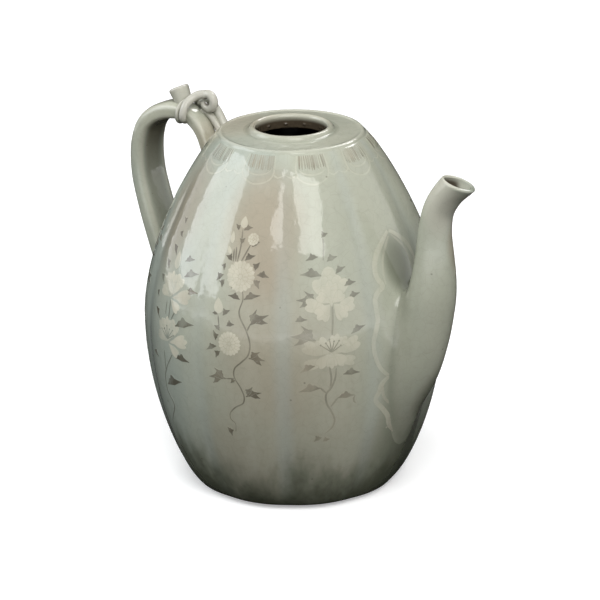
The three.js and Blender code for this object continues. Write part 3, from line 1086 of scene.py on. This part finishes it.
def petal(root, toward, length, spread, scallops):
    # a broad petal that opens from its root to a waved edge
    s = np.linspace(0, 1, 6 * scallops + 1)
    turn = np.radians(toward + (s - 0.5) * spread)
    waved = 0.87 + 0.13 * np.abs(np.sin(math.pi * scallops * s))
    reach = length * waved * (0.66 + 0.34 * np.sin(math.pi * s) ** 0.5)
    edge = np.column_stack([root[0] + reach * np.cos(turn), root[1] + reach * np.sin(turn)])
    return np.vstack([[root], edge])


def chrysanthemum(lobe, middle, radius, petals=18):
    lay("white", lobe, oval(middle, radius * 0.94, radius * 0.94), "ground", 0.62)
    for ring, count, far, near in (("petal", petals, 1.0, 0.42), ("front", petals // 2, 0.56, 0.14)):
        for k in range(count):
            a = 2 * math.pi * (k + (ring == "front") * 0.5) / count
            spoke = np.array([math.cos(a), math.sin(a)])
            width = 2 * math.pi * radius * far * 0.86 / count
            outline = drop(middle + spoke * radius * far, middle + spoke * radius * near, width, 7)
            lay("white", lobe, outline, ring, 0.95)
    lay("white", lobe, oval(middle, radius * 0.15, radius * 0.15, 14), "line", 0.9)


def tieredPeony(lobe, flip, middle, tiers, tint):
    # petals from the back of the flower to its front: root, direction, length, spread, scallops
    for (x, z), toward, length, spread, scallops, level, strength in tiers:
        root = (middle[0] + flip * x, middle[1] + z)
        outline = petal(root, toward if flip > 0 else 180 - toward, length, spread, scallops)
        lay("white", lobe, outline, level, strength * tint)


shoulderPeony = [
    ((0.6, 1), 90, 21, 44, 1, "ground", 0.65), ((-0.5, 3), 112, 15, 66, 2, "ground", 0.8),
    ((2, 3), 62, 15, 66, 2, "ground", 0.8), ((0, -1), 168, 15.5, 46, 2, "petal", 0.85),
    ((1.5, -1), 6, 14.5, 50, 2, "petal", 0.8), ((0.8, 0), 92, 14.5, 62, 3, "petal", 0.95),
    ((0.4, 2), 146, 9.5, 62, 2, "front", 0.9), ((1, 2), 34, 9.5, 62, 2, "front", 0.85),
    ((0, 1.5), 226, 11.5, 76, 3, "front", 0.9), ((2, 1.5), -46, 11.5, 76, 3, "front", 0.85),
]
openPeony = [
    ((0, 0), 160, 18.5, 40, 2, "ground", 0.8), ((0, 0), 20, 19.5, 40, 2, "ground", 0.75),
    ((0, -2), 196, 17.5, 34, 2, "ground", 0.8), ((0, -2), -14, 15.5, 36, 2, "ground", 0.75),
    ((0, 0), 128, 13, 48, 2, "petal", 0.85), ((1, 0), 76, 12.5, 56, 3, "petal", 0.9),
    ((1, 0), 42, 13.5, 44, 2, "petal", 0.8), ((0, 1), 222, 12, 50, 2, "petal", 0.85),
    ((0, 1), -40, 11.5, 54, 2, "petal", 0.8), ((0, 2), 270, 10.5, 56, 3, "front", 0.85),
    ((-1, 2), 176, 10.5, 50, 2, "front", 0.8), ((2, 2), 6, 10.5, 50, 2, "front", 0.8),
    ((0.5, 1), 92, 8.5, 80, 3, "front", 0.9),
]
sidePeony = [
    ((0, 0), 128, 15, 44, 2, "ground", 0.75), ((0, 0), 62, 16, 50, 2, "ground", 0.8),
    ((0, 0), 166, 11.5, 44, 2, "petal", 0.8), ((0, 0), 96, 15, 48, 3, "petal", 0.9),
    ((2, 0), 14, 15.5, 48, 3, "petal", 0.95), ((1, -1), -34, 10.5, 52, 2, "front", 0.9),
    ((0, 1), 112, 9.5, 46, 2, "front", 0.85), ((1, 1), 58, 10, 46, 2, "front", 0.85),
]

sprays = {
    "chrysanthemum": {
        "stem": 1.0, "ink": 0.95, "white": 1.0,
        "stems": [
            [(2.3, 143.8), (3.1, 138.9), (1.4, 131.1), (6.5, 121.2), (8.9, 113.5), (7.7, 106.9),
             (3.8, 102.6), (-0.5, 98.2), (-1, 93), (2.7, 86.6), (4.6, 81), (3.8, 76.8), (-1.6, 73.1),
             (-5.3, 68.2), (-4.8, 64.7), (-2.3, 62.7), (-2.6, 57)],
            [(-5.4, 158.6), (-5.9, 165.4)], [(-2.8, 159), (-1.9, 168.3), (-2.3, 176)],
            [(-0.5, 159), (3.9, 168.6)], [(-3.9, 158.8), (-4.5, 166.6)], [(6.6, 121), (8.6, 125.4)],
            [(-1, 92), (-6.3, 91)], [(-12, 128), (-10.8, 120)],
        ],
        "leaves": [
            (-4.7, 175.3, -6.9, 178.3), (-1.5, 175.7, 3.7, 177.5), (-1.9, 168.3, 0.1, 171.8),
            (4.9, 167.5, 9, 170.3), (-6.3, 159, -10.6, 161.2), (1.7, 160, 7.7, 163),
            (8.4, 155.1, 10.7, 159.6), (9.8, 152.7, 17, 151.5), (8, 149.9, 11.9, 145.2),
            (-10.3, 157, -10.9, 153.2), (-10.7, 151, -15.5, 146.7), (-9.9, 148.4, -11.1, 143.8),
            (1.2, 138.7, -6.4, 140.2), (3.6, 138.9, 13.2, 141.7), (-12.4, 128.5, -16.2, 128.6),
            (-8.8, 128.5, -4.4, 132.1), (-6.1, 122.9, -1, 124.3), (-10.5, 119.5, -14.4, 121.9),
            (-13.1, 113.5, -14.9, 119), (-12.4, 110, -19.8, 106.3), (-9.9, 107.4, -13, 102.9),
            (-0.2, 90.8, -3.4, 88.8), (-7.9, 59, -5.2, 53.6),
        ],
        "clusters": [(8.2, 124.8, 18.9, 131), (8.2, 105.3, 18, 104.3), (-6.3, 91, -18.4, 90),
                     (5.7, 81.1, 15.2, 84.3)],
        "buds": [(-2.1, 176.6, -1.8, 183, 4.6), (-7.9, 168, -7.8, 174.6, 2.8),
                 (-7.8, 162.3, -9.8, 166.6, 2.6), (-11.8, 129, -12.7, 138, 6.4)],
        "suns": [(0.2, 151.2, 8.8), (-3.9, 112.7, 7.3), (5, 171.5, 3.4)],
    },
    "tall peony": {
        "stem": 1.25, "ink": 0.66, "white": 0.85,
        "stems": [
            [(2.3, 135), (2, 127.3), (1, 117.5)], [(-0.9, 100), (0.1, 93), (-0.6, 86.6)],
            [(3.1, 99), (2.3, 92.6), (-0.4, 86.5), (-2.8, 83.9), (-2.7, 78), (0.4, 71.7), (2.5, 66),
             (1.3, 61.3), (-2.9, 57.2)],
            [(-6.3, 87.6), (-2.8, 83.9)], [(4, 80.2), (-0.2, 74.8)], [(15, 80), (13.9, 77.3), (15.5, 74.6)],
            [(0.6, 171.9), (0.4, 166.5), (-0.6, 160.3)],
        ],
        "leaves": [
            (-0.1, 172.3, 3.8, 174.3), (-3.4, 162.4, -10.7, 160.6), (1.5, 159.6, 8, 161.6),
            (-2.5, 152.3, -14.9, 153.1), (6, 152.6, 12.5, 155.6), (10.8, 145.4, 18.4, 146.5),
            (12.6, 138, 20.5, 140.1), (-19.6, 127.5, -12.5, 128.5), (13, 118.2, 22.7, 121.5),
            (-9.4, 101.4, -18, 97.2), (7.3, 94.7, 18.1, 94.1), (-6.3, 87.4, -18.8, 85.2),
            (4, 80.2, 15, 80.2), (-4.7, 54.7, -9.2, 52.1), (-3.9, 52, 0.2, 53.3),
        ],
        "clusters": [(-6.8, 137.6, -18.3, 139.3), (-8.5, 116.4, -23.1, 118.8)],
        "buds": [], "suns": [],
        "peonies": [((1.2, 135), shoulderPeony), ((0.5, 107.5), openPeony)],
        "stamens": (0.5, 107.5),
    },
    "low peony": {
        "stem": 0.9, "ink": 0.95, "white": 1.15,
        "stems": [
            [(7.8, 95.9), (0.2, 84.1), (-1.6, 79.4), (-1.7, 71.3), (3.2, 62.3), (-4, 49.7), (-4.7, 44.3)],
            [(0.1, 97), (0.2, 90), (-0.1, 84)], [(3.4, 128.2), (4, 120.9), (3.4, 112.5)],
            [(9.5, 123.5), (6, 117)], [(0.2, 127), (0.4, 119)],
        ],
        "leaves": [
            (8.5, 152.1, 15.8, 154.5), (11.2, 143.8, 21.7, 147.4), (14, 134.8, 24, 136.9),
            (10.6, 114.6, 25, 118.3), (11, 95.3, 22.4, 94.8), (0.3, 75.2, 14.7, 80.6),
            (-6.6, 158.2, -1.2, 153.1), (-10, 148.6, -5.2, 144), (-13, 139, -8.5, 135.4),
            (-15, 128.8, -11, 126.2), (-13, 119.9, -6.4, 114.5), (-16, 91.4, -7.8, 89.9),
            (-4.8, 165.5, -1.1, 163.5), (-2.5, 171, -5.5, 173.6),
        ],
        "clusters": [], "buds": [(2.6, 146, 1.4, 156.5, 5.5)], "suns": [],
        "peonies": [((2.6, 130), sidePeony), ((4, 103.5), sidePeony)],
        "stamens": (4, 103.5),
    },
}


def drawSpray(lobe, flip, spray):
    turned = lambda points: [(flip * x, z) for x, z in points]
    for points in spray["stems"]:
        lay("black", lobe, stroke(turned(points), spray["stem"]), "stem", spray["ink"] * 0.8)
    for x0, z0, x1, z1 in spray["leaves"]:
        lay("black", lobe, leaf((flip * x0, z0), (flip * x1, z1)), "leaf", spray["ink"])
    for x0, z0, x1, z1 in spray["clusters"]:
        for outline in cluster((flip * x0, z0), (flip * x1, z1)):
            lay("black", lobe, outline, "leaf", spray["ink"] * 0.9)
    for x0, z0, x1, z1, width in spray["buds"]:
        lay("white", lobe, drop((flip * x0, z0), (flip * x1, z1), width), "petal", 0.85)
    for x, z, radius in spray["suns"]:
        chrysanthemum(lobe, np.array([flip * x, z]), radius, 18 if radius > 5 else 9)
    for (x, z), tiers in spray.get("peonies", []):
        tieredPeony(lobe, flip, (flip * x, z), tiers, spray["white"])
    if "stamens" in spray:
        x, z = spray["stamens"]
        for k, lean in enumerate((-58, -36, -14, 8, 30, 54)):
            a, far = math.radians(90 + lean), 6.5 + 1.3 * (k % 2)
            tip = (flip * (x + far * math.cos(a)), z + 1.5 + far * math.sin(a))
            lay("black", lobe, stroke([(flip * x, z + 1.5), tip], 0.55), "line", 0.5)
            lay("black", lobe, oval(tip, 0.55, 0.55, 8), "line", 0.5)


def drawCollar(lobe, rng):
    # the band round the shoulder: a comb of strokes over a lotus petal for each lobe
    for x in np.linspace(-7.2, 8.6, 12):
        lean, width = rng.uniform(-0.6, 0.6), rng.uniform(0.5, 1.65)
        low = 206.4 + rng.uniform(0, 0.9) + 0.012 * x * x
        tooth = stroke([(x * 0.86, 213.6), (x + lean, low)], width, (0.7, 0.5))
        lay("black", lobe, tooth, "line", rng.uniform(0.3, 1.0))
        lay("white", lobe, stroke([(x * 0.86 + 0.6, 213.7), (x + 0.7, 206.2)], 0.6), "ground", 0.4)
    for points, width in (
        ([(-7.6, 213.6), (-9.6, 206.4), (-8.8, 202.8), (-5, 200.4), (0, 199.4), (5, 200.4), (8.8, 202.8),
          (9.8, 206.4), (8.4, 213.6)], 1.0),
        ([(-7.6, 206.6), (-5.4, 205), (0, 204.1), (5.4, 205), (8, 206.8)], 0.9),
        ([(9.6, 204.6), (12.6, 203), (16.2, 204.4)], 0.9),
        ([(-9.6, 204.6), (-12.6, 203), (-16.2, 204.4)], 0.9),
    ):
        lay("white", lobe, stroke(points, width), "ground", 0.4)


def drawBorder(flip):
    # the waved white line on either side of the spout's root
    outer = [(-0.6, 168.6), (-5.4, 165.4), (-10.4, 161.6), (-15, 157), (-17.8, 151), (-18.2, 146),
             (-15.6, 140.6), (-19.4, 138.4), (-22.6, 134.4), (-23.2, 127.6), (-23.6, 122), (-26.2, 115),
             (-28.2, 109), (-27.4, 102.6), (-25.4, 96.6), (-22.4, 91.6), (-18.8, 88)]
    lower = [(-18.8, 88), (-22.4, 83.4), (-23.6, 78.2), (-25.4, 73.4), (-20.6, 67.4), (-16.4, 61.4),
             (-14.2, 55), (-10.2, 50)]
    branch = [(-22.4, 83.4), (-20.2, 74), (-15.2, 69), (-12.2, 64.4), (-13.4, 57), (-15.6, 53)]
    inner = [(-1.2, 166), (-6.4, 160.8), (-11, 154.4), (-13, 147.4), (-13.4, 141.2)]
    for points, width, strength in ((outer, 3.3, 0.46), (lower, 3.0, 0.6), (inner, 1.6, 0.3),
                                    (branch, 1.8, 0.5)):
        lay("white", 0, stroke([(flip * x, z) for x, z in points], width, (0.6, 0.6)), "ground", strength)


def within(points, outline):
    # even-odd test for many points
    x, y = points[:, 0][:, None], points[:, 1][:, None]
    a, b = outline, np.roll(outline, -1, 0)
    crosses = (a[:, 1] > y) != (b[:, 1] > y)
    rise = np.where(a[:, 1] == b[:, 1], 1e-9, b[:, 1] - a[:, 1])
    at = a[:, 0] + (y - a[:, 1]) * (b[:, 0] - a[:, 0]) / rise
    return (crosses & (x < at)).sum(1) % 2 == 1


def filled(outline):
    # flat triangles inside an outline, with a ring of points just inside its rim
    step = np.roll(outline, -1, 0) - np.roll(outline, 1, 0)
    area = (outline[:, 0] * np.roll(outline[:, 1], -1) - np.roll(outline[:, 0], -1) * outline[:, 1]).sum()
    away = unit(np.column_stack([step[:, 1], -step[:, 0]])) * np.sign(area)
    outer, inner = outline + away * inlay["rim"] / 2, outline - away * inlay["rim"]
    low, high = outer.min(0), outer.max(0)
    axes = [np.arange(low[k] + 0.9, high[k], inlay["grain"]) for k in (0, 1)]
    grid = np.stack(np.meshgrid(*axes), -1).reshape(-1, 2)
    if len(grid):
        grid = grid[within(grid, outline - away * 0.6)]
    n = len(outline)
    loops = [(s + k, s + (k + 1) % n) for s in (0, n) for k in range(n)]
    points = [Vector(p) for p in np.vstack([outer, inner, grid])]
    verts, _, faces = geometry.delaunay_2d_cdt(points, loops, [], 1, 1e-5)[:3]
    verts = np.array([tuple(v) for v in verts])
    tri = np.array([f for f in faces if len(f) == 3])
    p, q, r = (verts[tri[:, k]] for k in range(3))
    turned = np.cross(q - p, r - p) < 0
    tri[turned] = tri[turned][:, ::-1]
    return verts, tri


def slipPiece(name, slip):
    parts, start = [], 0
    for lobe, outline, lift, strength in patches[slip]:
        verts, tri = filled(outline)
        edges = np.vstack([tri[:, [0, 1]], tri[:, [1, 2]], tri[:, [2, 0]]])
        unique, count = np.unique(np.sort(edges, 1), axis=0, return_counts=True)
        directed = {tuple(e) for e in edges}
        rim = np.array([e if tuple(e) in directed else e[::-1] for e in unique[count == 1]])
        facts = np.column_stack([verts, np.tile([math.radians(lobe), lift, strength], (len(verts), 1))])
        facts[np.unique(rim), 4] = 0
        parts.append((facts, tri + start, rim + start))
        start += len(verts)
    facts, tris, rims = (np.vstack(part) for part in zip(*parts))
    across, z, lobes, lifts, inks = facts.T
    angle = lobes + across / turnedRadius(z)
    base, share = raised(angle, z)
    out = outward(angle) / steepness(z)[:, None]
    verts = np.vstack([base + out * lifts[:, None], base - out * inlay["sunk"]]) * mm
    a, b = rims[:, 0], rims[:, 1]
    sides = np.vstack([np.column_stack([b, a, a + start]), np.column_stack([b, a + start, b + start])])
    piece = meshFrom(name, verts, np.vstack([tris, tris[:, ::-1] + start, sides]).tolist())
    mesh = piece.data
    onRim = np.zeros(2 * start, bool)
    onRim[np.concatenate([np.unique(rims), np.unique(rims) + start])] = True
    ends = np.zeros(2 * len(mesh.edges), int)
    mesh.edges.foreach_get("vertices", ends)
    ends = ends.reshape(-1, 2)
    sameSide = (ends[:, 0] < start) == (ends[:, 1] < start)
    sharp = mesh.attributes.new("sharp_edge", "BOOLEAN", "EDGE")
    sharp.data.foreach_set("value", onRim[ends].all(1) & sameSide)
    # the fillet's pooled glaze and painted shade, as on the body
    paint(mesh, ink=np.concatenate([inks, inks * 0]), pool=np.tile(share ** 1.5, 2))
    return finishPiece(piece, glaze[slip])


for side in (-1, 1):
    # the spray of each lobe, from the spout round to the handle
    for turn, name in ((36, "tall peony"), (72, "chrysanthemum"), (108, "low peony"), (144, "chrysanthemum")):
        drawSpray(side * turn, -side, sprays[name])
    drawBorder(-side)
combs = np.random.default_rng(11)
for lobe in range(0, 360, 36):
    drawCollar(lobe, combs)
slipPiece("inlay_white_slip", "white")
slipPiece("inlay_black_slip", "black")
print("inlay laid in:", len(patches["white"]), "white and", len(patches["black"]), "black patches")


# Light, floor and camera

def direction(azimuth, elevation):
    a, e = math.radians(azimuth), math.radians(elevation)
    return Vector((math.cos(e) * math.cos(a), math.cos(e) * math.sin(a), math.sin(e)))


def camera():
    # fitted to the photograph, in metres and degrees
    aim, back, distance, roll = Vector((0, 0, 0.109)), direction(-49.5, 20.06), 1.962, 0.877
    data = bpy.data.cameras.new("camera")
    data.sensor_width, data.lens = 36, 197.15
    data.shift_x, data.shift_y = 0.01043, 0.0016
    view = placed("camera", data)
    turn = (-back).to_track_quat("-Z", "Y").to_matrix().to_4x4() @ Matrix.Rotation(-math.radians(roll), 4,
                                                                                   "Z")
    view.matrix_world = Matrix.Translation(aim + back * distance) @ turn
    bpy.context.scene.camera = view


def softbox(name, azimuth, elevation, distance, size, radiance, color=(1, 1, 1), mirrored=True, lights=True,
            roll=0):
    # a lit panel that faces the ewer; mirrored ones show in the glaze
    away = direction(azimuth, elevation)
    data = bpy.data.lights.new(name, "AREA")
    data.shape, data.size, data.size_y = "RECTANGLE", size[0], size[1]
    data.energy = radiance * math.pi * size[0] * size[1]
    data.color = color
    lamp = placed(name, data)
    lamp.visible_glossy, lamp.visible_diffuse = mirrored, lights
    lamp.location = Vector((0, 0, 0.12)) + away * distance
    lamp.rotation_mode = "QUATERNION"
    lamp.rotation_quaternion = away.to_track_quat("Z", "Y") @ Quaternion((0, 0, 1), math.radians(roll))


def flatPiece(name, verts, faces, surface):
    # surface takes the material's tree and gives its shader
    material = bpy.data.materials.new(name)
    tree = freshTree(material)
    tree.add("ShaderNodeOutputMaterial", {}, {0: surface(tree)})
    mesh = bpy.data.meshes.new(name)
    mesh.from_pydata(verts, [], faces)
    mesh.materials.append(material)
    return placed(name, mesh)


def farFrom(tree, middle):
    where = tree.add("ShaderNodeTexCoord", output="Object")
    return tree.add("ShaderNodeVectorMath", {"operation": "DISTANCE"}, {0: where, 1: middle}, output="Value")


def darkCard(name, verts, faces, fadeFrom=4.0, fadeTo=5.0):
    # a black card that only gloss sees: it keeps the edges of the pale glaze crisp, and pales with distance
    def surface(tree):
        black = tree.add("ShaderNodeBsdfDiffuse", {}, {"Color": (0.012, 0.012, 0.011, 1)})
        fading = farFrom(tree, (-0.5, 0.5, 0)).smooth(fadeFrom, fadeTo)
        return tree.add("ShaderNodeMixShader", {}, {0: fading, 1: black, 2: tree.add("ShaderNodeEmission")})

    card = flatPiece(name, verts, faces, surface)
    card.visible_camera = card.visible_diffuse = card.visible_shadow = card.visible_transmission = False


def darkCards():
    reach, count = 1.5, 16
    ring = [(reach * math.cos(a), reach * math.sin(a)) for a in np.radians(np.linspace(68, 172, count))]
    wall = [(x, y, 0.0) for x, y in ring] + [(x, y, 1.0) for x, y in ring]
    darkCard("card_behind", wall, [(k, k + 1, k + count + 1, k + count) for k in range(count - 1)])
    mat = [(1.6 * math.cos(a), 1.6 * math.sin(a), 0.0005) for a in around(24)]
    darkCard("card_below", mat, [tuple(range(24))], 1.15, 2.1)


def seen(tree):
    # 1 for what the camera, gloss and clear pieces look at, 0 for what lights
    rays = tree.many("ShaderNodeLightPath")
    looks = rays["Is Camera Ray"] + rays["Is Glossy Ray"] + rays["Is Transmission Ray"]
    return looks.math("MINIMUM", 1.0)


def studio():
    world = bpy.data.worlds.new("studio")
    bpy.context.scene.world = world
    tree = freshTree(world)
    sky = tree.add("ShaderNodeBackground", {}, {"Color": (1, 1, 1, 1), "Strength": seen(tree) * 0.80 + 0.20})
    tree.add("ShaderNodeOutputWorld", {}, {0: sky})


def floorPiece():
    # a hair below the foot, and clear from beneath
    half, low = 6.0, -0.0003

    def surface(tree):
        glow = tree.add("ShaderNodeMix", {"data_type": "RGBA"}, {
            "Factor": farFrom(tree, (0, 0, 0)).smooth(0.5, 2.6), 6: (0.36, 0.36, 0.36, 1), 7: (1, 1, 1, 1)},
            output=2)
        pale = tree.add("ShaderNodeBsdfPrincipled", {}, {
            "Base Color": (0.8, 0.8, 0.8, 1), "Roughness": 0.9, "Specular IOR Level": 0.0,
            "Emission Strength": 1.0, "Emission Color": glow})
        quiet = tree.add("ShaderNodeBsdfDiffuse", {}, {"Color": (0.05, 0.05, 0.048, 1)})
        above = tree.add("ShaderNodeMixShader", {}, {0: seen(tree), 1: quiet, 2: pale})
        beneath = tree.add("ShaderNodeNewGeometry", output="Backfacing")
        clear = tree.add("ShaderNodeBsdfTransparent")
        return tree.add("ShaderNodeMixShader", {}, {0: beneath, 1: above, 2: clear})

    corners = [(-half, -half, low), (half, -half, low), (half, half, low), (-half, half, low)]
    floor = flatPiece("floor", corners, [(0, 1, 2, 3)], surface)


bpy.context.scene.view_settings.view_transform = "Standard"
camera()
studio()
floorPiece()
darkCards()
softbox("key", -38, 43, 2.4, (1.6, 1.6), 8.0, mirrored=False)
softbox("fill above", -100, 78, 2.4, (1.2, 1.2), 3.2, mirrored=False)
softbox("fill right", 25, 10, 2.4, (1.0, 1.0), 2.2, mirrored=False)
softbox("fill behind", 125, 32, 2.4, (1.4, 1.0), 2.8, mirrored=False)
softbox("window left", -139, 25, 2.3, (1.36, 1.7), 3.8, (0.93, 0.97, 1.0))
softbox("strip over camera", -35, 40.5, 2.6, (1.55, 1.25), 4.3, (1.0, 0.99, 0.96), lights=False, roll=-11)
softbox("window behind", 88, 47, 2.6, (1.0, 1.1), 9.0, lights=False)
print("studio set")
